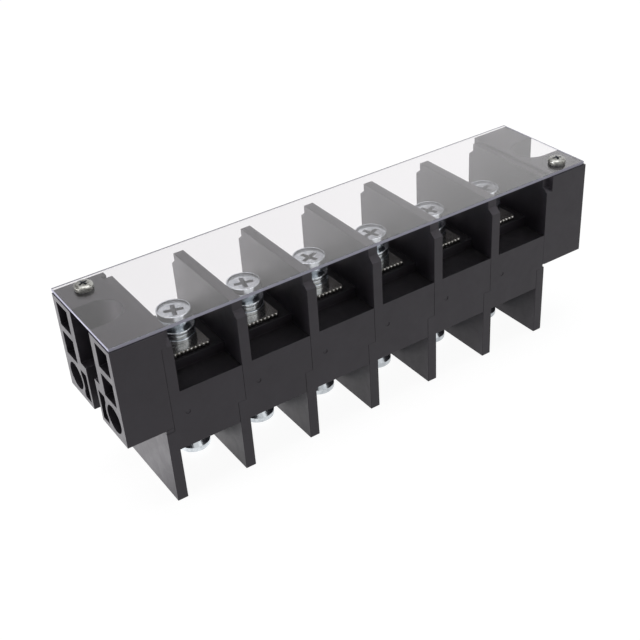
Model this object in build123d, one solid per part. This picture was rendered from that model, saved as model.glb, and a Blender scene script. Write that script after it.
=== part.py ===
from build123d import *
import os

# Six pole barrier terminal block for a panel cut-out. Millimetres, +Z up.
# The origin lies under the middle of the block, level with the fin tips.
poles = 6
pitch = 23.0
wall = 3.3
depth = 38.0
end_length = 14.3
upper_height = 31.5
sill_height = 11.2
body_drop = 8.1
fin_height = 25.7
barrier_drop = 0.9
floor_drop = 1.0
fin_left_of_seam = 2.6
barrier_in_end_body = 1.0

# Corners cut from the top of each barrier, front and back.
notch_depth = 2.0
notch_height = 2.5
notch_slope = 1.7

# Lips of the left end block that reach over the corners of the first barrier.
lip_thickness = 1.6

# Tongue and recess that lock each piece to its left neighbour.
tongue_thickness = 1.5
tongue_height = 9.5
tongue_inset = 3.5
tongue_clearance = 0.3
recess_extra_height = 0.5

# Seats for the contact plates, above and below the floor of each pole.
seat_depth = 19.4
top_seat_rise = 3.2
bottom_seat_rise = 6.4

# Contact plates.
plate_width = 11.8
plate_depth = 17.9
plate_thickness = 1.5
plate_hole_radius = 2.8
tooth_radius = 0.62
tooth_spacing = 1.3
teeth = 9

# Tapped brass bush through each pole.
bush_radius = 4.5
bush_clearance = 0.05
tapped_depth = 12.5

# Terminal screws and the washers held on them.
shank_radius = 2.5
thread_clearance = 0.05
shank_length = 16.0
shank_chamfer = 0.5
head_foot_radius = 4.25
head_radius = 4.95
head_height = 4.5
head_cup_depth = 0.5
head_rim_width = 0.55
head_edge_round = 0.35
cross_span = 5.6
cross_foot_span = 2.6
cross_width = 1.4
cross_depth = 2.7
flat_washer_radius = 5.5
flat_washer_thickness = 1.1
spring_washer_radius = 5.2
spring_washer_thickness = 1.5
washer_bore_clearance = 0.08
spring_washer_gap = 0.9

# Clear cover and its two screws.
cover_thickness = 1.0
cover_short_at_ends = 0.3
cover_past_back = 0.7
cover_short_at_front = 0.6
cover_hole_radius = 1.8
cover_screw_from_end = 7.7
cover_screw_from_edge = 5.4
cover_screw_radius = 1.5
cover_screw_length = 8.0
cover_bore_depth = 9.5
pan_head_radius = 2.8
pan_head_height = 2.0
pan_head_crown = 0.8
pan_cross_span = 3.1
pan_cross_foot_span = 1.4
pan_cross_width = 0.75
pan_cross_depth = 1.2

# Mounting slots in the end blocks, wide above and narrow below.
slot_radius = 6.3
slot_centre_from_end = 6.4
slot_seat_height = 14.4
screw_slot_radius = 2.9
screw_slot_centre_from_end = 7.0

# Hollows in the outer faces of the end blocks.
hollow_depth = 5.0
hollow_outer_wall = 2.3
hollow_slot_wall = 3.0
upper_hollow_base = 22.2
upper_hollow_height = 7.7
lower_hollow_base = 12.5
lower_hollow_height = 7.5
inner_hollow_slot_wall = 1.3
inner_hollow_width = 3.9
inner_hollow_base = 1.6
inner_hollow_height = 9.6

# Tie rods along the whole row.
rod_radius = 2.0
rod_hole_radius = 2.15
rod_from_edge = 6.2
rod_height = 6.3
counterbore_radius = 4.3
counterbore_rim = 1.2
hex_across_flats = 7.0
rod_head_height = 2.8
nut_height = 3.2
rod_end_past_nut = 1.4

# Relief under the end blocks, clear of the fins at both ends of the row.
foot_relief = 0.15

# Small round mark left by moulding on the front of each pole.
mark_radius = 0.7
mark_depth = 0.15
mark_from_seam = 4.8
mark_height = 3.5

# Levels and positions that follow from the sizes above.
axis_from_seam = (wall + pitch) / 2
panel = fin_height
body_bottom = panel - body_drop
top = panel + upper_height
barrier_top = top - barrier_drop
band_top = panel - floor_drop
sill = panel + sill_height
top_seat = sill + top_seat_rise
bottom_seat = body_bottom - bottom_seat_rise
half_depth = depth / 2
rod_from_middle = half_depth - rod_from_edge
length = 2 * end_length + poles * pitch + wall - barrier_in_end_body
left_end = -length / 2
first_seam = left_end + end_length
last_seam = first_seam + poles * pitch
right_end = length / 2
rod_level = panel + rod_height
stack_height = 2 * flat_washer_thickness + spring_washer_thickness


def block(x0, x1, y0, y1, z0, z1):
    centre = Pos((x0 + x1) / 2, (y0 + y1) / 2, (z0 + z1) / 2)
    return centre * Box(x1 - x0, y1 - y0, z1 - z0)


def rod_along_x(x0, x1, y, z, radius):
    return Pos((x0 + x1) / 2, y, z) * Rot(0, 90, 0) * Cylinder(radius, x1 - x0)


def rod_along_z(z0, z1, x, y, radius):
    return Pos(x, y, (z0 + z1) / 2) * Cylinder(radius, z1 - z0)


def rod_holes(x0, x1):
    front = rod_along_x(x0, x1, -rod_from_middle, rod_level, rod_hole_radius)
    back = rod_along_x(x0, x1, rod_from_middle, rod_level, rod_hole_radius)
    return front + back


def tongue(seam):
    half = half_depth - tongue_inset
    return block(seam - tongue_thickness, seam, -half, half, band_top, panel + tongue_height)


def tongue_recess(seam):
    half = half_depth - tongue_inset + tongue_clearance
    height = tongue_height + recess_extra_height
    return block(seam - tongue_thickness - 0.1, seam, -half, half, band_top, panel + height)


def corner_prisms(seam, upper, thickness):
    edge = half_depth
    inner = half_depth - notch_depth
    low = barrier_top - notch_height
    corner = Polyline((edge, upper), (inner, upper), (inner, low), (edge, low - notch_slope), close=True)
    prism = Pos(seam, 0, 0) * extrude(Plane.YZ * make_face(corner), thickness)
    return prism + mirror(prism, about=Plane.XZ)


def barrier(seam):
    wall_block = block(seam, seam + wall, -half_depth, half_depth, panel, barrier_top)
    return wall_block - corner_prisms(seam, barrier_top, wall)


def pole_module(seam):
    axis = seam + axis_from_seam
    half_seat = seat_depth / 2
    fin_left = seam - fin_left_of_seam
    fin_right = fin_left + wall
    floor = block(seam, seam + pitch, -half_depth, half_depth, band_top, sill)
    band = block(fin_left, fin_left + pitch, -half_depth, half_depth, body_bottom, band_top)
    fin = block(fin_left, fin_right, -half_depth, half_depth, 0, body_bottom)
    upper_seat = block(seam + wall, seam + pitch, -half_seat, half_seat, sill, top_seat)
    lower_seat = block(fin_right, fin_left + pitch, -half_seat, half_seat, bottom_seat, body_bottom)
    body = barrier(seam) + floor + band + fin + upper_seat + lower_seat + tongue(seam)
    body -= tongue_recess(seam + pitch)
    body -= rod_holes(fin_left, seam + pitch)
    body -= rod_along_z(bottom_seat, top_seat, axis, 0, bush_radius + bush_clearance)
    mark = Pos(seam + mark_from_seam, -half_depth, panel + mark_height) * Rot(90, 0, 0)
    body -= mark * Cylinder(mark_radius, 2 * mark_depth)
    return body


def closing_fin():
    fin_left = last_seam - fin_left_of_seam
    slab = block(fin_left, fin_left + wall, -half_depth, half_depth, 0, band_top)
    return slab + tongue(last_seam) - rod_holes(fin_left, last_seam)


def end_hollows():
    near = slot_radius + hollow_slot_wall
    outer = half_depth - hollow_outer_wall
    upper_top = upper_hollow_base + upper_hollow_height
    lower_top = lower_hollow_base + lower_hollow_height
    inner_near = screw_slot_radius + inner_hollow_slot_wall
    inner_far = inner_near + inner_hollow_width
    inner_top = inner_hollow_base + inner_hollow_height
    x1 = left_end + hollow_depth
    cut = block(left_end, x1, near, outer, panel + upper_hollow_base, panel + upper_top)
    cut += block(left_end, x1, near, outer, panel + lower_hollow_base, panel + lower_top)
    inner = block(left_end, x1, inner_near, inner_far, panel + inner_hollow_base, panel + inner_top)
    rim = rod_along_x(left_end, x1, rod_from_middle, rod_level, counterbore_radius + counterbore_rim)
    cut += inner - rim
    cut += rod_along_x(left_end, x1, rod_from_middle, rod_level, counterbore_radius)
    return cut + mirror(cut, about=Plane.XZ)


def end_slots():
    wide_centre = left_end + slot_centre_from_end
    screw_centre = left_end + screw_slot_centre_from_end
    seat = panel + slot_seat_height
    wide = block(left_end, wide_centre, -slot_radius, slot_radius, seat, top)
    wide += rod_along_z(seat, top, wide_centre, 0, slot_radius)
    narrow = block(left_end, screw_centre, -screw_slot_radius, screw_slot_radius, panel, seat)
    narrow += rod_along_z(panel, seat, screw_centre, 0, screw_slot_radius)
    return wide + narrow


def end_body():
    body = block(left_end, first_seam, -half_depth, half_depth, panel, top)
    body -= end_slots()
    body -= end_hollows()
    body -= rod_holes(left_end, first_seam)
    x = left_end + cover_screw_from_end
    y = half_depth - cover_screw_from_edge
    bore = cover_screw_radius + thread_clearance
    return body - rod_along_z(top - cover_bore_depth, top, x, y, bore)


def relief_over_fin(seam):
    fin_left = seam - fin_left_of_seam
    return block(fin_left, fin_left + wall, -half_depth, half_depth, panel, panel + foot_relief)


def left_end_block():
    lips = corner_prisms(first_seam, top, lip_thickness)
    return end_body() + lips - tongue_recess(first_seam) - relief_over_fin(first_seam)


def right_end_block():
    body = Rot(0, 0, 180) * end_body() + barrier(last_seam)
    return body - rod_holes(last_seam, last_seam + wall) - relief_over_fin(last_seam)


def bush(seam):
    x = seam + axis_from_seam
    body = rod_along_z(bottom_seat, top_seat, x, 0, bush_radius)
    bore = shank_radius + thread_clearance
    body -= rod_along_z(top_seat - tapped_depth, top_seat, x, 0, bore)
    return body - rod_along_z(bottom_seat, bottom_seat + tapped_depth, x, 0, bore)


def contact_plate():
    tooth_line = plate_depth / 2 - tooth_radius
    body = Box(plate_width, 2 * tooth_line, plate_thickness)
    first_tooth = -tooth_spacing * (teeth - 1) / 2
    for n in range(teeth):
        for y in (-tooth_line, tooth_line):
            body += Pos(first_tooth + n * tooth_spacing, y, 0) * Cylinder(tooth_radius, plate_thickness)
    body -= Cylinder(plate_hole_radius, plate_thickness)
    return Pos(0, 0, plate_thickness / 2) * body


def washer_set(place, turn):
    bore = shank_radius + washer_bore_clearance
    flat = Cylinder(flat_washer_radius, flat_washer_thickness) - Cylinder(bore, flat_washer_thickness)
    spring = Cylinder(spring_washer_radius, spring_washer_thickness)
    spring -= Cylinder(bore, spring_washer_thickness)
    gap = Box(spring_washer_radius * 1.5, spring_washer_gap, spring_washer_thickness * 3)
    spring -= Rot(0, 0, turn) * Pos(spring_washer_radius, 0, 0) * Rot(30, 0, 0) * gap
    spring_level = flat_washer_thickness + spring_washer_thickness / 2
    upper_level = stack_height - flat_washer_thickness / 2
    lower = place * Pos(0, 0, flat_washer_thickness / 2) * flat
    middle = place * Pos(0, 0, spring_level) * spring
    upper = place * Pos(0, 0, upper_level) * flat
    return Compound(children=[lower, middle, upper])


def cross_recess(span, foot_span, width, deep):
    side = Polyline((-span / 2, 0), (span / 2, 0), (foot_span / 2, -deep), (-foot_span / 2, -deep), close=True)
    bar = Pos(0, width / 2, 0) * extrude(Plane.XZ * make_face(side), width)
    return bar + Rot(0, 0, 90) * bar


def terminal_screw(turn):
    cup = head_radius - head_rim_width
    cup_floor = head_height - head_cup_depth
    profile = Polyline(
        (0, 0), (head_foot_radius, 0), (head_radius, head_height * 0.62),
        (head_radius, head_height - head_edge_round), (head_radius - head_edge_round, head_height),
        (cup, head_height), (cup - 0.15, cup_floor), (0, cup_floor), close=True)
    head = revolve(Plane.XZ * make_face(profile), Axis.Z)
    recess = cross_recess(cross_span, cross_foot_span, cross_width, cross_depth)
    head -= Rot(0, 0, turn) * Pos(0, 0, cup_floor) * recess
    shank = rod_along_z(-shank_length, 0, 0, 0, shank_radius)
    tip = shank.edges().group_by(Axis.Z)[0]
    return head + chamfer(tip, shank_chamfer)


def cover_screw(turn):
    edge = pan_head_height - pan_head_crown
    shoulder = (pan_head_radius * 0.78, pan_head_height - 0.15)
    profile = Polyline(
        (0, 0), (pan_head_radius, 0), (pan_head_radius, edge), shoulder, (0, pan_head_height), close=True)
    head = revolve(Plane.XZ * make_face(profile), Axis.Z)
    recess = cross_recess(pan_cross_span, pan_cross_foot_span, pan_cross_width, pan_cross_depth)
    head -= Rot(0, 0, turn) * Pos(0, 0, pan_head_height) * recess
    return head + rod_along_z(-cover_screw_length, 0, 0, 0, cover_screw_radius)


def cover():
    x = right_end - cover_short_at_ends
    front = cover_short_at_front - half_depth
    back = half_depth + cover_past_back
    sheet = block(-x, x, front, back, top, top + cover_thickness)
    for sx, sy in cover_screw_places():
        sheet -= rod_along_z(top, top + cover_thickness, sx, sy, cover_hole_radius)
    return sheet


def cover_screw_places():
    x = left_end + cover_screw_from_end
    y = half_depth - cover_screw_from_edge
    return (x, y), (-x, -y)


def hex_piece(height):
    return extrude(RegularPolygon(hex_across_flats / 2, 6, major_radius=False), height)


def tie_rod(y):
    head_seat = left_end + hollow_depth
    nut_seat = right_end - hollow_depth
    end = nut_seat + nut_height + rod_end_past_nut
    head = Pos(head_seat, y, rod_level) * Rot(0, -90, 0) * hex_piece(rod_head_height)
    return rod_along_x(head_seat, end, y, rod_level, rod_radius) + head


def tie_rod_nuts():
    nuts = []
    for y in (-rod_from_middle, rod_from_middle):
        nut = hex_piece(nut_height) - Pos(0, 0, nut_height / 2) * Cylinder(rod_radius + 0.02, nut_height)
        nuts.append(Pos(right_end - hollow_depth, y, rod_level) * Rot(0, 90, 0) * nut)
    return Compound(children=nuts)


def save(shape, name):
    export_step(shape, os.path.join("parts", name + ".step"))


os.makedirs("parts", exist_ok=True)
save(left_end_block(), "left_end_block")
save(right_end_block(), "right_end_block")
save(closing_fin(), "closing_fin")
save(cover(), "clear_cover")
save(tie_rod(-rod_from_middle), "tie_rod_front")
save(tie_rod(rod_from_middle), "tie_rod_back")
save(tie_rod_nuts(), "tie_rod_nuts")

# The screws stand at the angles they were left at when they were driven.
cover_turns = (20, 65)
for name, turn, place in zip(("left", "right"), cover_turns, cover_screw_places()):
    save(Pos(place[0], place[1], top + cover_thickness) * cover_screw(turn), "cover_screw_" + name)

top_turns = (0, 5, 45, 40, 48, 42)
bottom_turns = (10, 60, 30, 75, 20, 50)
gap_turns = (200, 95, 310, 25, 150, 260)
top_plate_level = top_seat + plate_thickness
bottom_plate_level = bottom_seat - plate_thickness
for n in range(poles):
    seam = first_seam + n * pitch
    x = seam + axis_from_seam
    number = str(n + 1)
    flip = Rot(180, 0, 0)
    save(pole_module(seam), "pole_module_" + number)
    save(bush(seam), "conductor_bush_" + number)
    save(Pos(x, 0, top_seat) * contact_plate(), "top_plate_" + number)
    save(Pos(x, 0, bottom_seat) * flip * contact_plate(), "bottom_plate_" + number)
    save(washer_set(Pos(x, 0, top_plate_level), gap_turns[n]), "top_washers_" + number)
    save(washer_set(Pos(x, 0, bottom_plate_level) * flip, gap_turns[-n]), "bottom_washers_" + number)
    save(Pos(x, 0, top_plate_level + stack_height) * terminal_screw(top_turns[n]), "top_screw_" + number)
    low_screw = flip * terminal_screw(bottom_turns[n])
    save(Pos(x, 0, bottom_plate_level - stack_height) * low_screw, "bottom_screw_" + number)
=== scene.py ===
import math

import bmesh
import bpy
from mathutils import Matrix, Vector


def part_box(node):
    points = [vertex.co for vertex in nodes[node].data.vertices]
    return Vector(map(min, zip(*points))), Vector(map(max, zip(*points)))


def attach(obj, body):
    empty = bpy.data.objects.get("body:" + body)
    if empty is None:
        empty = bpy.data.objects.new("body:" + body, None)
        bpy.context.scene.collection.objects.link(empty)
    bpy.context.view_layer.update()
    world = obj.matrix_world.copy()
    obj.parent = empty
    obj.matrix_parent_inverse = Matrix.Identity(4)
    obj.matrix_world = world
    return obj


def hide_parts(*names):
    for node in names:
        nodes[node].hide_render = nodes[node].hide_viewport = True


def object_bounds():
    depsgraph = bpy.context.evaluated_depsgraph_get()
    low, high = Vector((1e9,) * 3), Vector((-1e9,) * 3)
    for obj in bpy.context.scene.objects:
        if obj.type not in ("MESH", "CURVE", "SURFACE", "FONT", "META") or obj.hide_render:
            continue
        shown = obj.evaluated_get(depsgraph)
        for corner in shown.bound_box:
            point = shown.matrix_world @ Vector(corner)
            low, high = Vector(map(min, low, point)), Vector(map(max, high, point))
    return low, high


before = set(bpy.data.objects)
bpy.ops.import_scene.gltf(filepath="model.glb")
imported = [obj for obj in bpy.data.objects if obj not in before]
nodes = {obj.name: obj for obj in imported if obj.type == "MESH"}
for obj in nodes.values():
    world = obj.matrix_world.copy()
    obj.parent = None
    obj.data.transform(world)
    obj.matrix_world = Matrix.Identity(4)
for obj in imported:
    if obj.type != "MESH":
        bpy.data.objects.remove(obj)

# Barrier terminal block, dressed: moulded thermoset poles, plated screws, clear sheet.
mm = 0.001
poleCount = 6
cadLow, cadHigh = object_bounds()
scene = bpy.context.scene
scene.view_settings.view_transform = "Standard"


def toLinear(hexColour, alpha=1.0):
    channels = [int(hexColour[i:i + 2], 16) / 255 for i in (1, 3, 5)]
    return tuple(c / 12.92 if c <= 0.04045 else ((c + 0.055) / 1.055) ** 2.4 for c in channels) + (alpha,)


def addNode(tree, kind, settings=None, links=None):
    # settings go to the node's own property where it has one, and else to the input of that name
    node = tree.nodes.new(kind)
    for key, value in (settings or {}).items():
        if isinstance(key, str) and hasattr(node, key):
            setattr(node, key, value)
        else:
            node.inputs[key].default_value = value
    for key, source in (links or {}).items():
        tree.links.new(source, node.inputs[key])
    return node


def newMaterial(name):
    material = bpy.data.materials.new(name)
    material.use_nodes = True
    material.node_tree.nodes.clear()
    return material, material.node_tree


def addRamp(tree, source, stops):
    ramp = addNode(tree, "ShaderNodeValToRGB", links={"Fac": source})
    elements = ramp.color_ramp.elements
    elements[0].position, elements[0].color = stops[0]
    elements[1].position, elements[1].color = stops[-1]
    for position, colour in stops[1:-1]:
        elements.new(position).color = colour
    return ramp.outputs["Color"]


def addNoise(tree, place, size, settings):
    # noise whose features are about size millimetres across
    return addNode(tree, "ShaderNodeTexNoise", dict(settings, Scale=1 / (size * mm)), {"Vector": place}).outputs["Fac"]


# Black phenolic, compression moulded: dense and slightly grey, with a satin skin and faint flow clouds.
phenolic = {
    "name": "mouldedPhenolic",
    "shade": "#1b191d",
    "cloudShade": "#252328",
    "cloudSize": 11.0,       # mm across one flow cloud
    "cloudStops": (0.35, 0.72),
    "smearSize": 5.0,        # mm, patches where the gloss changes
    "grainSize": 0.35,       # mm, drawn coarser than the real skin so that it shows
    "grainDepth": 0.012,     # mm
    "waveSize": 7.0,         # mm, sink waves of the flat walls
    "waveDepth": 0.03,       # mm
    "roughness": (0.38, 0.50),
    "gloss": 0.5,
    "sheenTint": "#f8f2fb",  # gloss of the resin rich skin, faintly violet
}


# Painted shade: a darker, duller copy of the same moulding for the floors inside the bays and the slanted faces at the
# seams, where shade falls.
paintedShadePhenolic = dict(phenolic, name="paintedShadePhenolic", shade="#0f0e10", cloudShade="#151416",
                    roughness=(0.55, 0.7), gloss=0.12)


def makePhenolic(look):
    material, tree = newMaterial(look["name"])
    place = addNode(tree, "ShaderNodeTexCoord").outputs["Object"]
    clouds = addNoise(tree, place, look["cloudSize"], {"Detail": 4.0, "Roughness": 0.6})
    dark, pale = look["cloudStops"]
    colour = addRamp(tree, clouds, [(dark, toLinear(look["shade"])), (pale, toLinear(look["cloudShade"]))])
    smear = addNoise(tree, place, look["smearSize"], {"Detail": 6.0, "Roughness": 0.65, "Distortion": 0.8})
    low, high = look["roughness"]
    rough = addNode(tree, "ShaderNodeMapRange", {"From Min": 0.3, "From Max": 0.7, "To Min": low, "To Max": high},
                    {"Value": smear}).outputs["Result"]
    grain = addNoise(tree, place, look["grainSize"], {"Detail": 3.0})
    wave = addNoise(tree, place, look["waveSize"], {"Detail": 1.0})
    sink = addNode(tree, "ShaderNodeBump", {"Strength": 0.5, "Distance": look["waveDepth"] * mm}, {"Height": wave})
    skin = addNode(tree, "ShaderNodeBump", {"Strength": 0.6, "Distance": look["grainDepth"] * mm},
                   {"Height": grain, "Normal": sink.outputs["Normal"]})
    shader = addNode(tree, "ShaderNodeBsdfPrincipled", {
        "IOR": 1.52, "Specular IOR Level": look["gloss"], "Specular Tint": toLinear(look["sheenTint"])},
                     {"Base Color": colour, "Roughness": rough, "Normal": skin.outputs["Normal"]})
    addNode(tree, "ShaderNodeOutputMaterial", links={"Surface": shader.outputs["BSDF"]})
    return material


# Clear polycarbonate sheet, extruded and guillotined: glassy faces with a light smoke tint.
clearSheet = {
    "name": "clearPolycarbonate",
    "ior": 1.585,
    "faceTint": "#f5f3f5",
    "passTint": "#e9e8eb",   # what light keeps when it passes through as a shadow ray
}

# Its sawn edges: finely frosted, with a painted glow as emission in place of the light the sheet leads to them, so they
# show as a pale lavender line.
sawnEdge = {
    "name": "sawnPolycarbonateEdge",
    "ior": 1.585,
    "shade": "#77768a",
    # painted light: a fixed glow on the edges, standing in for the light that the sheet leads to its edge
    "paintedGlow": "#e6e6f2", "paintedGlowLevel": 0.14,   # the light that the sheet leads to its edge
    "frost": 0.5,
    "sawPitch": 0.25,        # mm
    "sawDepth": 0.006,       # mm
}


def makeClearSheet(look):
    material, tree = newMaterial(look["name"])
    sheet = addNode(tree, "ShaderNodeBsdfPrincipled", {
        "IOR": look["ior"], "Transmission Weight": 1.0, "Roughness": 0.0, "Base Color": toLinear(look["faceTint"])})
    passing = addNode(tree, "ShaderNodeBsdfTransparent", {"Color": toLinear(look["passTint"])})
    isShadow = addNode(tree, "ShaderNodeLightPath").outputs["Is Shadow Ray"]
    mixed = addNode(tree, "ShaderNodeMixShader",
                    links={0: isShadow, 1: sheet.outputs["BSDF"], 2: passing.outputs["BSDF"]})
    addNode(tree, "ShaderNodeOutputMaterial", links={"Surface": mixed.outputs["Shader"]})
    return material


def makeSawnEdge(look):
    material, tree = newMaterial(look["name"])
    place = addNode(tree, "ShaderNodeTexCoord").outputs["Object"]
    saw = addNoise(tree, place, look["sawPitch"], {"Detail": 3.0})
    skin = addNode(tree, "ShaderNodeBump", {"Strength": 0.6, "Distance": look["sawDepth"] * mm}, {"Height": saw})
    shader = addNode(tree, "ShaderNodeBsdfPrincipled", {
        "Base Color": toLinear(look["shade"]), "Roughness": look["frost"], "IOR": look["ior"],
        "Emission Color": toLinear(look["paintedGlow"]), "Emission Strength": look["paintedGlowLevel"]},
                     {"Normal": skin.outputs["Normal"]})
    addNode(tree, "ShaderNodeOutputMaterial", links={"Surface": shader.outputs["BSDF"]})
    return material


# Steel turned and headed cold, then bright zinc plated: cool grey, mirror-like with fine tool rings.
zincSteel = {
    "name": "brightZincSteel",
    "shade": "#d3d8dc",
    "dullShade": "#aab0b6",
    "roughness": (0.14, 0.30),
    "blotchSize": 2.2,       # mm
    "ringPitch": 0.16,       # mm between tool rings, drawn coarser than real ones
    "ringDepth": 0.004,      # mm
}

# Brass stamping with a tin skin: warmer and duller than the screws.
tinnedBrass = {
    "name": "tinnedBrass",
    "shade": "#bfbdb9",
    "dullShade": "#9c9994",
    "roughness": (0.12, 0.24),
    "blotchSize": 3.0,
    "ringPitch": 0.0,
    "ringDepth": 0.0,
}


handling = {"scratchSize": 0.5, "scratchDepth": 0.01}   # mm, fine scratches on every metal piece


def makeMetal(look):
    material, tree = newMaterial(look["name"])
    coordinates = addNode(tree, "ShaderNodeTexCoord")
    place = coordinates.outputs["Object"]
    blotch = addNoise(tree, place, look["blotchSize"], {"Detail": 5.0, "Roughness": 0.7})
    colour = addRamp(tree, blotch, [(0.3, toLinear(look["dullShade"])), (0.55, toLinear(look["shade"]))])
    low, high = look["roughness"]
    rough = addNode(tree, "ShaderNodeMapRange", {"From Min": 0.25, "From Max": 0.75, "To Min": high, "To Max": low},
                    {"Value": blotch}).outputs["Result"]
    scratch = addNoise(tree, place, handling["scratchSize"], {"Detail": 6.0, "Roughness": 0.8})
    skin = addNode(tree, "ShaderNodeBump", {"Strength": 0.35, "Distance": handling["scratchDepth"] * mm},
                   {"Height": scratch})
    if look["ringPitch"]:
        # lathe pieces carry a map in millimetres: U round the axis, V along the profile
        along = addNode(tree, "ShaderNodeSeparateXYZ", links={"Vector": coordinates.outputs["UV"]}).outputs["Y"]
        turns = addNode(tree, "ShaderNodeMath", {"operation": "MULTIPLY", 1: 2 * math.pi / look["ringPitch"]}, {0: along})
        ring = addNode(tree, "ShaderNodeMath", {"operation": "SINE"}, {0: turns.outputs["Value"]}).outputs["Value"]
        skin = addNode(tree, "ShaderNodeBump", {"Strength": 0.4, "Distance": look["ringDepth"] * mm},
                       {"Height": ring, "Normal": skin.outputs["Normal"]})
    shader = addNode(tree, "ShaderNodeBsdfPrincipled", {"Metallic": 1.0},
                     {"Base Color": colour, "Roughness": rough, "Normal": skin.outputs["Normal"]})
    addNode(tree, "ShaderNodeOutputMaterial", links={"Surface": shader.outputs["BSDF"]})
    return material


# Tie rods and nuts deep in their hollows: steel coloured near black, painted shade for the dark of the deep hollows.
shadedRodSteel = {
    "name": "paintedShadeRodSteel",
    "shade": "#232226",
    "dullShade": "#151417",
    "roughness": (0.38, 0.55),
    "blotchSize": 2.5,
    "ringPitch": 0.0,
    "ringDepth": 0.0,
}

# Driver recesses and the inner wall of the cup head: darker, duller metal, painted shade for the shade that falls in
# them.
shadedRecessSteel = {
    "name": "paintedShadeRecess",
    "shade": "#74777d",
    "dullShade": "#54565b",
    "roughness": (0.45, 0.6),
    "blotchSize": 1.5,
    "ringPitch": 0.0,
    "ringDepth": 0.0,
}

# Cover screws: yellowed and handled, with brown blotches spread at random.
handledSteel = {
    "name": "handledZincSteel",
    "shade": "#a0a09c",
    "dullShade": "#3a352e",
    "roughness": (0.20, 0.38),
    "blotchSize": 1.2,
    "ringPitch": 0.0,
    "ringDepth": 0.0,
}

phenolicSkin = makePhenolic(phenolic)
paintedShadeSkin = makePhenolic(paintedShadePhenolic)
sheetSkin = makeClearSheet(clearSheet)
edgeSkin = makeSawnEdge(sawnEdge)
steelSkin = makeMetal(zincSteel)
brassSkin = makeMetal(tinnedBrass)
shadedRodSkin = makeMetal(shadedRodSteel)
shadedRecessSkin = makeMetal(shadedRecessSteel)
handledSkin = makeMetal(handledSteel)
print("materials made")


def setMaterial(obj, material):
    # clearing also sets every face back to the first material, so it is kept for meshes that have one
    if obj.data.materials:
        obj.data.materials.clear()
    obj.data.materials.append(material)


def plainMesh(obj):
    # the evaluated result becomes an ordinary mesh, and the modifiers go
    graph = bpy.context.evaluated_depsgraph_get()
    mesh = bpy.data.meshes.new_from_object(obj.evaluated_get(graph))
    obj.modifiers.clear()
    old = obj.data
    obj.data = mesh
    mesh.name = obj.name
    bpy.data.meshes.remove(old)
    return obj


def newObject(name, mesh):
    obj = bpy.data.objects.new(name, mesh)
    scene.collection.objects.link(obj)
    return obj


def smoothByAngle(mesh, degrees):
    mesh.polygons.foreach_set("use_smooth", [True] * len(mesh.polygons))
    mesh.set_sharp_from_angle(angle=math.radians(degrees))


softening = {"weld": 0.002, "flat": 0.6, "corner": 35.0}   # mm, then degrees


def addBlock(work, low, high):
    # corners in metres
    corners = [work.verts.new((x, y, z)) for z in (low[2], high[2]) for x, y in
               ((low[0], low[1]), (high[0], low[1]), (high[0], high[1]), (low[0], high[1]))]
    for ring in ((3, 2, 1, 0), (4, 5, 6, 7), (0, 1, 5, 4), (1, 2, 6, 5), (2, 3, 7, 6), (3, 0, 4, 7)):
        work.faces.new([corners[n] for n in ring])


def softenedCopy(node, name, edge, segments, material, body, extra=()):
    # a copy of the solid with its moulded or stamped edges rounded, standing in for it
    mesh = nodes[node].data.copy()
    work = bmesh.new()
    work.from_mesh(mesh)
    for low, high in extra:
        addBlock(work, low, high)
    bmesh.ops.remove_doubles(work, verts=work.verts, dist=softening["weld"] * mm)
    bmesh.ops.dissolve_limit(work, angle_limit=math.radians(softening["flat"]), verts=work.verts, edges=work.edges)
    work.to_mesh(mesh)
    work.free()
    obj = newObject(name, mesh)
    if "custom_normal" in mesh.attributes:
        mesh.attributes.remove(mesh.attributes["custom_normal"])
    smoothByAngle(mesh, 180)
    bevel = obj.modifiers.new("edges", "BEVEL")
    bevel.width = edge * mm
    bevel.segments = segments
    bevel.limit_method = "ANGLE"
    bevel.angle_limit = math.radians(softening["corner"])
    bevel.use_clamp_overlap = True
    # broad faces keep their own normals, so they stay flat to the eye
    obj.modifiers.new("flats", "WEIGHTED_NORMAL").keep_sharp = True
    plainMesh(obj)
    setMaterial(obj, material)
    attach(obj, body)
    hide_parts(node)
    return obj


mouldings = {"edge": 0.20, "segments": 2, "footDrop": 1.3, "footWidth": 2.57, "footRise": 0.13,
             "levelFace": 0.9, "bayDrop": 6.0, "seamTurn": 0.3}
plates = {"edge": 0.16, "segments": 2}
sheetEdges = {"edge": 0.10, "segments": 2, "upright": 0.6, "air": 0.05}   # air: the film under the sheet, mm

for node, name in [("left_end_block", "leftEndBlock"), ("right_end_block", "rightEndBlock"), ("closing_fin", "closingFin")]:
    softenedCopy(node, name, mouldings["edge"], mouldings["segments"], phenolicSkin, "block")
blockLow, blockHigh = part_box("left_end_block")
poleLow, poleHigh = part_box("pole_module_1")
# a strip on the first pole's foot closes the gap under the left end block
footStrip = ((poleLow.x, poleLow.y, blockLow.z - mouldings["footDrop"] * mm),
             (poleLow.x + mouldings["footWidth"] * mm, poleHigh.y, blockLow.z + mouldings["footRise"] * mm))
for number in range(1, poleCount + 1):
    pole = softenedCopy(f"pole_module_{number}", f"poleModule{number}", mouldings["edge"], mouldings["segments"],
                        phenolicSkin, "block", [footStrip] if number == 1 else [])
    # painted shade: bay floors and the slanted seam faces take the darker, duller copy of the moulding
    pole.data.materials.append(paintedShadeSkin)
    for face in pole.data.polygons:
        shadedBayFloor = face.normal.z > mouldings["levelFace"] and face.center.z < poleHigh.z - mouldings["bayDrop"] * mm
        shadedSeamEdge = mouldings["seamTurn"] < abs(face.normal.x) < mouldings["levelFace"]
        if shadedBayFloor or shadedSeamEdge:
            face.material_index = 1
    for side in ("top", "bottom"):
        softenedCopy(f"{side}_plate_{number}", f"{side}Plate{number}", plates["edge"], plates["segments"],
                     brassSkin, "block")
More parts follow.
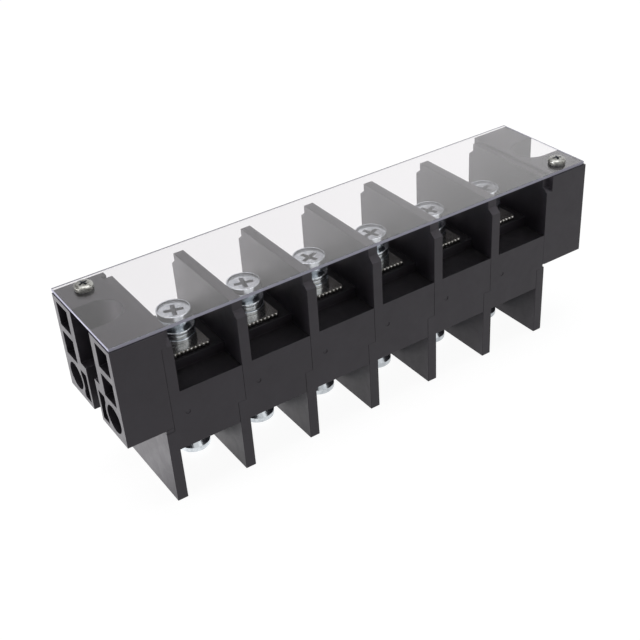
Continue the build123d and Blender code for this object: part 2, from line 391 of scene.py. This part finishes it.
cover = softenedCopy("clear_cover", "clearCover", sheetEdges["edge"], sheetEdges["segments"],
                     sheetSkin, "block")
cover.data.materials.append(edgeSkin)
for face in cover.data.polygons:
    if abs(face.normal.z) < sheetEdges["upright"]:
        face.material_index = 1
for vertex in cover.data.vertices:
    vertex.co.z += sheetEdges["air"] * mm
print("mouldings, plates and cover made")

# pieces that stay as the solids have them
for name, obj in nodes.items():
    if "bush" in name:
        setMaterial(obj, brassSkin)
    elif "tie_rod" in name:
        setMaterial(obj, shadedRodSkin)
    elif "screw" in name or "washers" in name:
        setMaterial(obj, steelSkin)


def lathe(work, profile, segments, centre, sign):
    # profile: (radius, height) in mm from the axis at one end to the axis at the other, with heights along sign
    layer = work.loops.layers.uv.verify()
    rings = []
    run = 0.0
    runs = []
    for n, (radius, height) in enumerate(profile):
        if n:
            run += math.dist(profile[n - 1], (radius, height))
        runs.append(run)
        z = centre.z + sign * height * mm
        if radius == 0:
            rings.append([work.verts.new((centre.x, centre.y, z))])
            continue
        ring = []
        for k in range(segments):
            turn = sign * 2 * math.pi * k / segments
            ring.append(work.verts.new((centre.x + radius * mm * math.cos(turn),
                                        centre.y + radius * mm * math.sin(turn), z)))
        rings.append(ring)
    faces = []
    for n in range(len(rings) - 1):
        low, high = rings[n], rings[n + 1]
        for k in range(segments):
            k2 = (k + 1) % segments
            if len(low) == 1:
                corners = [(low[0], n, k), (high[k2], n + 1, k + 1), (high[k], n + 1, k)]
            elif len(high) == 1:
                corners = [(low[k], n, k), (low[k2], n, k + 1), (high[0], n + 1, k)]
            else:
                corners = [(low[k], n, k), (low[k2], n, k + 1), (high[k2], n + 1, k + 1), (high[k], n + 1, k)]
            face = work.faces.new([c[0] for c in corners])
            for loop, (_, ringNumber, step) in zip(face.loops, corners):
                loop[layer].uv = (step / segments, runs[ringNumber])
            faces.append(face)
    return faces


def arcPoints(cx, cy, radius, start, end, steps):
    # points of an arc in the profile plane, angles in degrees
    angles = [math.radians(start + (end - start) * n / steps) for n in range(steps + 1)]
    return [(cx + radius * math.cos(a), cy + radius * math.sin(a)) for a in angles]


def finishMesh(work, name):
    bmesh.ops.recalc_face_normals(work, faces=work.faces)
    mesh = bpy.data.meshes.new(name)
    work.to_mesh(mesh)
    work.free()
    return mesh


# The thread is a grid bent round the axis, with its radius rising and falling along a helix.
threadLook = {"Root Radius": 2.08, "Crest Height": 0.42, "Pitch": 0.8, "Length": 16.0}


def makeThreadTree():
    tree = bpy.data.node_groups.new("screwThread", "GeometryNodeTree")
    inputs = (("Root Radius", 2.0), ("Crest Height", 0.4), ("Pitch", 0.8), ("Length", 16.0), ("Rows Per Turn", 6.0))
    for name, default in inputs:
        socket = tree.interface.new_socket(name, in_out="INPUT", socket_type="NodeSocketFloat")
        socket.default_value = default
    tree.interface.new_socket("Metal", in_out="INPUT", socket_type="NodeSocketMaterial")
    tree.interface.new_socket("Geometry", in_out="OUTPUT", socket_type="NodeSocketGeometry")
    given = addNode(tree, "NodeGroupInput").outputs

    def calc(operation, a, b=None):
        settings = {"operation": operation}
        links = {}
        for key, value in ((0, a), (1, b)):
            if isinstance(value, (int, float)):
                settings[key] = value
            elif value is not None:
                links[key] = value
        return addNode(tree, "ShaderNodeMath", settings, links).outputs["Value"]

    turnsLong = calc("DIVIDE", given["Length"], given["Pitch"])
    rows = calc("ADD", calc("ROUND", calc("MULTIPLY", turnsLong, given["Rows Per Turn"])), 1)
    grid = addNode(tree, "GeometryNodeMeshGrid", {"Size X": 1.0, "Vertices X": 37},
                   {"Size Y": given["Length"], "Vertices Y": rows})
    place = addNode(tree, "GeometryNodeInputPosition").outputs["Position"]
    spot = addNode(tree, "ShaderNodeSeparateXYZ", links={"Vector": place})
    round_ = calc("MULTIPLY", calc("ADD", spot.outputs["X"], 0.5), 2 * math.pi)
    # deep runs from 0 down to minus the length
    deep = calc("SUBTRACT", spot.outputs["Y"], calc("DIVIDE", given["Length"], 2))
    phase = calc("SUBTRACT", calc("DIVIDE", deep, given["Pitch"]), calc("ADD", spot.outputs["X"], 0.5))
    height = calc("PINGPONG", phase, 0.5)
    crest = addNode(tree, "ShaderNodeMapRange", {"From Min": 0.06, "From Max": 0.42, "To Min": 0.0},
                    {"Value": height, "To Max": given["Crest Height"]})
    # the crests run out at both ends
    headEnd = calc("DIVIDE", calc("MULTIPLY", deep, -1), given["Pitch"])
    tipEnd = calc("DIVIDE", calc("ADD", deep, given["Length"]), given["Pitch"])
    fade = calc("MINIMUM", calc("MINIMUM", headEnd, tipEnd), 1)
    radius = calc("ADD", given["Root Radius"], calc("MULTIPLY", crest.outputs["Result"], fade))
    where = addNode(tree, "ShaderNodeCombineXYZ", links={
        "X": calc("MULTIPLY", radius, calc("COSINE", round_)), "Y": calc("MULTIPLY", radius, calc("SINE", round_)), "Z": deep})
    bent = addNode(tree, "GeometryNodeSetPosition", links={"Geometry": grid.outputs["Mesh"], "Position": where.outputs["Vector"]})
    merged = addNode(tree, "GeometryNodeMergeByDistance", {"Distance": 0.00001}, {"Geometry": bent.outputs["Geometry"]})
    real = addNode(tree, "GeometryNodeRealizeInstances", links={"Geometry": merged.outputs["Geometry"]})
    dressed = addNode(tree, "GeometryNodeSetMaterial",
                      links={"Geometry": real.outputs["Geometry"], "Material": given["Metal"]})
    addNode(tree, "NodeGroupOutput", links={"Geometry": dressed.outputs["Geometry"]})
    return tree


threadTree = makeThreadTree()


def threadMesh(look, metal):
    # the tree works in millimetres; the mesh is brought to metres by whoever places it
    obj = newObject("thread", bpy.data.meshes.new("thread"))
    modifier = obj.modifiers.new("thread", "NODES")
    modifier.node_group = threadTree
    sockets = {item.name: item.identifier for item in threadTree.interface.items_tree if item.in_out == "INPUT"}
    for name, value in look.items():
        modifier[sockets[name]] = value
    modifier[sockets["Metal"]] = metal
    plainMesh(obj)
    mesh = obj.data
    bpy.data.objects.remove(obj)
    return mesh


# Terminal screw: a cold headed cup head with a raised rim and a tapered cross recess.
terminalScrew = {
    "foot": 3.6, "radius": 5.08, "height": 4.5, "cup": 0.65, "rim": 0.5, "round": 0.2,
    "crossSpan": 5.8, "crossFoot": 3.2, "crossWidth": 1.4, "crossFootWidth": 1.0, "crossDepth": 2.0,
    "footRound": 0.15, "flareRound": 0.5, "flareTop": 0.66, "segments": 96, "shank": 2.5, "wallTurn": 0.3,
    "topTurns": (-18, -14, 20, 16, 23, 18), "bottomTurns": (10, 60, 30, 75, 20, 50),
}


def crossCutter(look, turn, centre, sign):
    # two crossed wedges, wide at the mouth, that cut the driver recess
    work = bmesh.new()
    layer = work.loops.layers.uv.verify()
    lift = 1.0     # mm the cutter stands out of the head
    for quarter in (0, 90):
        corners = []
        for z, span, width in ((lift, look["crossSpan"] + 0.8, look["crossWidth"] + 0.1),
                               (0, look["crossSpan"], look["crossWidth"]),
                               (-look["crossDepth"], look["crossFoot"], look["crossFootWidth"])):
            for x, y in ((-1, -1), (1, -1), (1, 1), (-1, 1)):
                angle = math.radians(turn + quarter)
                px, py = x * span / 2, y * width / 2
                rx = px * math.cos(angle) - py * math.sin(angle)
                ry = px * math.sin(angle) + py * math.cos(angle)
                corners.append(work.verts.new(Vector((rx, sign * ry, sign * z)) * mm + centre))
        work.faces.new(corners[0:4])
        work.faces.new(corners[8:12])
        for ring in (0, 4):
            for k in range(4):
                k2 = (k + 1) % 4
                work.faces.new((corners[ring + k], corners[ring + k2], corners[ring + 4 + k2], corners[ring + 4 + k]))
    for face in work.faces:
        for loop in face.loops:
            loop[layer].uv = (0, 0)
    return newObject("crossCutter", finishMesh(work, "crossCutter"))


def cutRecess(obj, look, turn, mouth, sign):
    cutter = crossCutter(look, turn, mouth, sign)
    # painted shade: the cutter carries the darker recess metal to the walls it cuts
    setMaterial(cutter, shadedRecessSkin)
    cut = obj.modifiers.new("recess", "BOOLEAN")
    cut.material_mode = "TRANSFER"     # so the walls of the recess keep the cutter's material
    cut.operation = "DIFFERENCE"
    cut.solver = "EXACT"
    cut.use_self = True
    cut.object = cutter
    plainMesh(obj)
    bpy.data.objects.remove(cutter)
    return obj


def headProfile(look):
    # from the shank outwards, up the side, over the rim, down into the cup and to the axis
    r, h, e = look["radius"], look["height"], look["round"]
    inner = r - look["rim"]
    floor = h - look["cup"]
    turn, flare = look["footRound"], look["flareRound"]
    return (
        [(0, -0.3), (look["shank"] - 0.1, -0.3), (look["shank"] - 0.1, 0), (look["foot"] - turn, 0)]
        + arcPoints(look["foot"] - turn, turn, turn, -90, -10, 3)
        + arcPoints(r - flare, h * look["flareTop"], flare, -40, 0, 3)
        + arcPoints(r - e, h - e, e, 0, 90, 5)
        + arcPoints(inner + 0.1, h - 0.1, 0.1, 90, 180, 3)
        + arcPoints(inner - 0.15, floor + 0.15, 0.15, 0, -90, 3)
        + [(inner * 0.5, floor), (0, floor)])


def makeScrew(name, node, look, turn, sign, profile, mouthHeight, thread, metal):
    low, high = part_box(node)
    centre = (low + high) / 2
    bearing = high.z - look["height"] * mm if sign > 0 else low.z + look["height"] * mm
    centre.z = bearing
    work = bmesh.new()
    lathe(work, profile, look["segments"], centre, sign)
    bmesh.ops.recalc_face_normals(work, faces=work.faces)
    # painted shade: faces turned towards the axis, such as the inner wall of the cup, take the darker recess metal
    for face in work.faces:
        outward = face.calc_center_median() - centre
        outward.z = 0
        if outward.length and face.normal.dot(outward.normalized()) < -look["wallTurn"]:
            face.material_index = 1
    head = newObject(name, finishMesh(work, name))
    setMaterial(head, metal)
    head.data.materials.append(shadedRecessSkin)
    mouth = centre + Vector((0, 0, sign * mouthHeight * mm))
    cutRecess(head, look, turn, mouth, sign)
    work = bmesh.new()
    work.from_mesh(head.data)
    first = len(work.verts)
    work.from_mesh(thread)
    work.verts.ensure_lookup_table()
    flip = Matrix.Identity(4) if sign > 0 else Matrix.Rotation(math.pi, 4, "X")
    bmesh.ops.transform(work, matrix=Matrix.Translation(centre) @ flip @ Matrix.Scale(mm, 4), verts=work.verts[first:])
    rim = [e for e in work.edges if e.is_boundary]
    bmesh.ops.holes_fill(work, edges=rim, sides=0)
    mesh = finishMesh(work, name)
    head.data = mesh
    setMaterial(head, metal)
    mesh.materials.append(shadedRecessSkin)
    smoothByAngle(mesh, 32)
    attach(head, node)
    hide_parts(node)
    return head


terminalThread = threadMesh(threadLook, steelSkin)
for number in range(1, poleCount + 1):
    for side, sign, turns in (("top", 1, terminalScrew["topTurns"]), ("bottom", -1, terminalScrew["bottomTurns"])):
        makeScrew(f"{side}Screw{number}", f"{side}_screw_{number}", terminalScrew, turns[number - 1], sign,
                  headProfile(terminalScrew), terminalScrew["height"] - terminalScrew["cup"], terminalThread, steelSkin)
print("terminal screws made")

# Pan head screws that hold the cover.
coverScrew = {
    "radius": 2.8, "height": 2.0, "crown": 0.8, "shank": 1.5,
    "crossSpan": 3.1, "crossFoot": 1.4, "crossWidth": 0.75, "crossFootWidth": 0.45, "crossDepth": 1.2,
    "segments": 64, "wallTurn": 0.3, "turns": {"left": 20, "right": 65},
}
coverThreadLook = {"Root Radius": 1.22, "Crest Height": 0.28, "Pitch": 0.5, "Length": 8.0}


def panProfile(look):
    r, h = look["radius"], look["height"]
    shoulder = h - look["crown"]
    angles = [math.radians(9 * n) for n in range(10)]
    dome = [(r * math.cos(a), shoulder + look["crown"] * math.sin(a)) for a in angles]
    foot = [(0, -0.2), (look["shank"] - 0.1, -0.2), (look["shank"] - 0.1, 0), (r - 0.1, 0), (r, 0.1)]
    return foot + dome + [(0, h)]


coverThread = threadMesh(coverThreadLook, steelSkin)
for side, turn in coverScrew["turns"].items():
    makeScrew(f"coverScrew{side.capitalize()}", f"cover_screw_{side}", coverScrew, turn, 1,
              panProfile(coverScrew), coverScrew["height"] - 0.05, coverThread, handledSkin)
print("cover screws made")

# Washers on each screw: plain, split spring, plain.
washers = {
    "bore": 2.58, "flatRadius": 5.5, "flatThickness": 1.1, "edge": 0.18,
    "springRadius": 5.2, "springThickness": 1.5, "springGap": 11.0, "springLift": 0.05, "segments": 72,
    "gapTurns": (200, 95, 310, 25, 150, 260),
}


def ringSection(inner, outer, low, high, edge):
    # closed outline of a washer's section with its outer corners rounded
    return ([(inner, high), (inner, low), (outer - edge, low)] + arcPoints(outer - edge, low + edge, edge, -90, 0, 4)[1:]
            + arcPoints(outer - edge, high - edge, edge, 0, 90, 4))


def sweepRing(work, section, centre, sign, start, end, lift, segments):
    # carries a closed section round the axis; an open ring gets end faces and a slight helix
    layer = work.loops.layers.uv.verify()
    closed = end - start >= 360
    steps = segments if closed else segments + 1
    rings = []
    for k in range(steps):
        share = k / segments
        turn = math.radians(start + (end - start) * share)
        rise = lift * (2 * share - 1)
        rings.append([work.verts.new((centre.x + r * mm * math.cos(turn), centre.y + sign * r * mm * math.sin(turn),
                                      centre.z + sign * (z + rise) * mm)) for r, z in section])
    count = len(section)
    for k in range(segments):
        a, b = rings[k], rings[(k + 1) % steps]
        for n in range(count):
            n2 = (n + 1) % count
            face = work.faces.new((a[n], a[n2], b[n2], b[n]))
            for loop, (step, row) in zip(face.loops, ((k, n), (k, n2), (k + 1, n2), (k + 1, n))):
                loop[layer].uv = (step / segments, section[row][0] + section[row][1])
    if not closed:
        work.faces.new(rings[0])
        work.faces.new(rings[-1])


def makeWashers(name, node, sign, gapTurn):
    low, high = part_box(node)
    centre = (low + high) / 2
    centre.z = low.z if sign > 0 else high.z
    t, s = washers["flatThickness"], washers["springThickness"]
    gap = washers["springGap"]
    work = bmesh.new()
    flat = ringSection(washers["bore"], washers["flatRadius"], 0, t, washers["edge"])
    sweepRing(work, flat, centre, sign, 0, 360, 0, washers["segments"])
    lift = washers["springLift"]
    spring = ringSection(washers["bore"] + 0.1, washers["springRadius"], t + lift, t + s - lift, washers["edge"])
    sweepRing(work, spring, centre, sign, gapTurn + gap / 2, gapTurn + 360 - gap / 2, lift, washers["segments"])
    upper = ringSection(washers["bore"], washers["flatRadius"], t + s, 2 * t + s, washers["edge"])
    sweepRing(work, upper, centre, sign, 0, 360, 0, washers["segments"])
    obj = newObject(name, finishMesh(work, name))
    smoothByAngle(obj.data, 32)
    setMaterial(obj, steelSkin)
    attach(obj, node)
    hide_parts(node)


for number in range(1, poleCount + 1):
    turns = washers["gapTurns"]
    makeWashers(f"topWashers{number}", f"top_washers_{number}", 1, turns[number - 1])
    makeWashers(f"bottomWashers{number}", f"bottom_washers_{number}", -1, turns[1 - number])
print("washers made")


# Camera fitted to the photograph; angles in degrees, lengths in mm in the frame of the block.
photoCamera = {
    "azimuth": -31.71, "elevation": 33.45, "roll": -4.10,
    "target": (21.42, 48.76, -11.82), "distance": 411.5,
    "focalPixels": 1092.7, "imagePixels": 640, "sensor": 36.0,
}


def makeCamera(view):
    azimuth, elevation, roll = [math.radians(view[k]) for k in ("azimuth", "elevation", "roll")]
    back = Vector((math.sin(azimuth) * math.cos(elevation), -math.cos(azimuth) * math.cos(elevation), math.sin(elevation)))
    level = Vector((math.cos(azimuth), math.sin(azimuth), 0))
    rise = back.cross(level)
    right = math.cos(roll) * level + math.sin(roll) * rise
    up = -math.sin(roll) * level + math.cos(roll) * rise
    data = bpy.data.cameras.new("photoCamera")
    data.sensor_width = view["sensor"]
    data.lens = view["focalPixels"] / view["imagePixels"] * view["sensor"]
    data.clip_start, data.clip_end = 0.01, 20
    camera = bpy.data.objects.new("photoCamera", data)
    scene.collection.objects.link(camera)
    turn = Matrix((right, up, back)).transposed().to_4x4()
    camera.matrix_world = Matrix.Translation(Vector(view["target"]) * mm + back * view["distance"] * mm) @ turn
    scene.camera = camera


makeCamera(photoCamera)

# A white sweep under soft boxes: the lamps light the part, and the background shows as plain white.
studio = {
    "floorSize": 4.0, "floorDrop": 0.05, "floorShade": "#707070",   # metres, then mm below the fins
    # what floor and world show, by kind of ray, so that white paper doesn't flood the part with light
    "floorGlow": {"camera": 0.94, "glossy": 0.75, "transmission": 0.86, "diffuse": 0.25},
    "sky": {"camera": 1.0, "glossy": 1.25, "transmission": 1.0, "diffuse": 0.12},
    "skyEast": (0.25, 0.64), "skyDim": 0.66,   # mirrored sky is dim over the left end and full over the right
    # painted reflection: for mirrored rays only, the floor glows brighter beside and behind the left end, so the satin
    # faces mirror a pool of light there (mm, then share added)
    "brightX": (30.0, -95.0), "brightY": (-19.0, 5.0), "brightShare": 1.2,
    "lamps": (
        # name, place, aim, width, height, watts
        ("keyLeft", (-0.85, 0.10, 0.06), (0, 0, 0.03), 0.6, 0.10, 9.0),
        ("overhead", (0.05, 0.15, 0.95), (0, 0, 0.03), 0.9, 0.6, 4.0),
        ("frontFill", (0.75, -0.80, 0.30), (0, 0, 0.03), 1.8, 1.4, 2.4),
    ),
}


def levelByRay(tree, levels):
    # one number for each kind of ray, so that the sweep shows white without flooding the part with light
    paths = addNode(tree, "ShaderNodeLightPath").outputs
    level = levels["diffuse"]
    for kind in ("glossy", "transmission", "camera"):
        settings, links = {"To Max": levels[kind]}, {"Value": paths[f"Is {kind.capitalize()} Ray"]}
        if isinstance(level, float):
            settings["To Min"] = level
        else:
            links["To Min"] = level
        level = addNode(tree, "ShaderNodeMapRange", settings, links).outputs["Result"]
    return level


def makeStudio(look):
    world = bpy.data.worlds.new("studio")
    world.use_nodes = True
    scene.world = world
    tree = world.node_tree
    tree.nodes.clear()
    direction = addNode(tree, "ShaderNodeTexCoord").outputs["Generated"]
    towards = addNode(tree, "ShaderNodeSeparateXYZ", links={"Vector": direction}).outputs["X"]
    west, east = look["skyEast"]
    limits = {"From Min": west, "From Max": east, "To Min": look["skyDim"], "To Max": 1.0}
    shade = addNode(tree, "ShaderNodeMapRange", limits, {"Value": towards}).outputs["Result"]
    # mirrored rays see the dimmed sky and all others the plain one
    isMirrored = addNode(tree, "ShaderNodeLightPath").outputs["Is Glossy Ray"]
    gain = addNode(tree, "ShaderNodeMapRange", {"To Min": 1.0}, {"Value": isMirrored, "To Max": shade}).outputs["Result"]
    strength = addNode(tree, "ShaderNodeMath", {"operation": "MULTIPLY"},
                       {0: levelByRay(tree, look["sky"]), 1: gain}).outputs["Value"]
    sky = addNode(tree, "ShaderNodeBackground", {"Color": toLinear("#ffffff")}, {"Strength": strength})
    addNode(tree, "ShaderNodeOutputWorld", links={"Surface": sky.outputs["Background"]})

    material, tree = newMaterial("whiteSweep")
    paper = addNode(tree, "ShaderNodeBsdfDiffuse", {"Color": toLinear(look["floorShade"])})
    place = addNode(tree, "ShaderNodeTexCoord").outputs["Object"]
    spot = addNode(tree, "ShaderNodeSeparateXYZ", links={"Vector": place}).outputs
    paths = addNode(tree, "ShaderNodeLightPath").outputs
    # painted reflection: only mirrored rays see the floor brighter towards the left end
    share = addNode(tree, "ShaderNodeMath", {"operation": "GREATER_THAN"},
                    {0: paths["Is Glossy Ray"], 1: paths["Is Transmission Ray"]}).outputs["Value"]
    for axis, (dark, bright) in (("X", look["brightX"]), ("Y", look["brightY"])):
        limits = {"interpolation_type": "SMOOTHSTEP", "From Min": dark * mm, "From Max": bright * mm}
        ease = addNode(tree, "ShaderNodeMapRange", limits, {"Value": spot[axis]}).outputs["Result"]
        share = addNode(tree, "ShaderNodeMath", {"operation": "MULTIPLY"}, {0: share, 1: ease}).outputs["Value"]
    gain = addNode(tree, "ShaderNodeMath", {"operation": "MULTIPLY_ADD", 1: look["brightShare"], 2: 1.0},
                   {0: share}).outputs["Value"]
    glow = addNode(tree, "ShaderNodeMath", {"operation": "MULTIPLY"},
                   {0: levelByRay(tree, look["floorGlow"]), 1: gain}).outputs["Value"]
    light = addNode(tree, "ShaderNodeEmission", {"Color": toLinear("#ffffff")}, {"Strength": glow})
    both = addNode(tree, "ShaderNodeAddShader", links={0: paper.outputs["BSDF"], 1: light.outputs["Emission"]})
    addNode(tree, "ShaderNodeOutputMaterial", links={"Surface": both.outputs["Shader"]})
    half = look["floorSize"] / 2
    mesh = bpy.data.meshes.new("floor")
    level = cadLow.z - look["floorDrop"] * mm
    corners = [(-half, -half, level), (half, -half, level), (half, half, level), (-half, half, level)]
    mesh.from_pydata(corners, [], [(0, 1, 2, 3)])
    floor = newObject("floor", mesh)
    setMaterial(floor, material)
    for name, place, aim, width, height, watts in look["lamps"]:
        data = bpy.data.lights.new(name, "AREA")
        data.shape = "RECTANGLE"
        data.size, data.size_y, data.energy = width, height, watts
        lamp = bpy.data.objects.new(name, data)
        scene.collection.objects.link(lamp)
        lamp.location = place
        lamp.rotation_euler = (Vector(aim) - Vector(place)).to_track_quat("-Z", "Y").to_euler()


makeStudio(studio)
print("camera and studio made")
